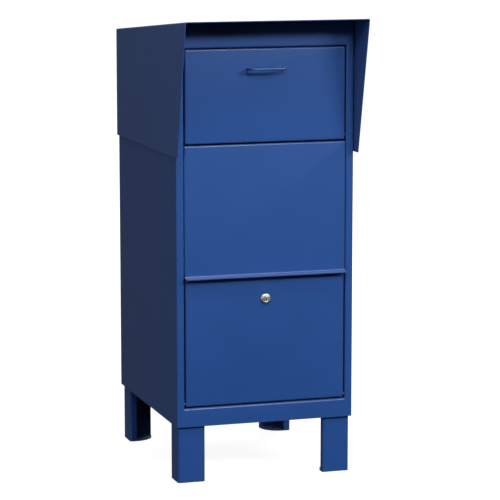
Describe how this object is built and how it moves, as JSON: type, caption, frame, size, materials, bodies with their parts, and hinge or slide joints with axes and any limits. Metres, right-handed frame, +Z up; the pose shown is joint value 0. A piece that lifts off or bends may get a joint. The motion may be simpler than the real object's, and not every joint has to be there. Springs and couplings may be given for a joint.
{
  "type": "courier drop box mailbox",
  "caption": "Free-standing sheet-steel drop box with a pull-down hopper door, rain hood, locked collection door and bolted legs.",
  "frame": {"origin": "on the ground, under the middle of the object's overall box", "axes": "+Z up; -Y is the front, where the hopper door and the access door open; +X to the viewer's right when facing the front"},
  "size_m": [0.4394, 0.622, 1.083],
  "materials": {
    "blue_paint": "royal blue powder coat with a fine orange peel",
    "nickel": "satin nickel plate",
    "zinc": "bright zinc plate",
    "rubber": "matt black rubber"
  },
  "bodies": {
    "cabinet": {"access_pad_left": "rubber", "access_pad_right": "rubber", "access_pin_left": "blue_paint", "access_pin_right": "blue_paint", "back_panel": "blue_paint", "bottom_rail": "blue_paint", "fishing_baffle": "blue_paint", "floor_pan": "blue_paint", "front_left_leg": "blue_paint", "front_left_leg_bolt_1": "zinc", "front_left_leg_bolt_2": "zinc", "front_right_leg": "blue_paint", "front_right_leg_bolt_1": "zinc", "front_right_leg_bolt_2": "zinc", "header_rail": "blue_paint", "hood": "blue_paint", "hood_nut_left_1": "zinc", "hood_nut_left_2": "zinc", "hood_nut_right_1": "zinc", "hood_nut_right_2": "zinc", "hopper_pad_left": "rubber", "hopper_pad_right": "rubber", "hopper_pin_left": "blue_paint", "hopper_pin_right": "blue_paint", "inner_roof": "blue_paint", "left_side_panel": "blue_paint", "lock_rail": "blue_paint", "middle_panel": "blue_paint", "panel_screw_left_1": "zinc", "panel_screw_left_2": "zinc", "panel_screw_right_1": "zinc", "panel_screw_right_2": "zinc", "rear_left_leg": "blue_paint", "rear_left_leg_bolt_1": "zinc", "rear_left_leg_bolt_2": "zinc", "rear_right_leg": "blue_paint", "rear_right_leg_bolt_1": "zinc", "rear_right_leg_bolt_2": "zinc", "right_side_panel": "blue_paint", "tray_pad_left": "rubber", "tray_pad_right": "rubber"},
    "hopper": {"hopper_door": "blue_paint", "hopper_tray": "blue_paint", "hopper_left_wing": "blue_paint", "hopper_right_wing": "blue_paint", "pull_handle": "blue_paint", "handle_screw_left": "zinc", "handle_screw_right": "zinc"},
    "collection_door": {"access_door": "blue_paint", "door_stay_left": "blue_paint", "door_stay_right": "blue_paint", "lock_housing": "nickel", "lock_nut": "zinc"},
    "lock_cylinder": {"lock_plug": "nickel", "lock_cam": "zinc", "cam_screw": "zinc"}
  },
  "joints": [
    {"name": "hopper_hinge", "type": "hinge", "parent": "cabinet", "child": "hopper", "pos_m": [0, -0.207, 0.808], "axis": [1, 0, 0], "range_deg": [0, 45]},
    {"name": "access_hinge", "type": "hinge", "parent": "cabinet", "child": "collection_door", "pos_m": [0, -0.2105, 0.19], "axis": [1, 0, 0], "range_deg": [0, 95]},
    {"name": "lock_turn", "type": "hinge", "parent": "collection_door", "child": "lock_cylinder", "pos_m": [0, -0.215, 0.43], "axis": [0, 1, 0], "range_deg": [0, 90]}
  ]
}
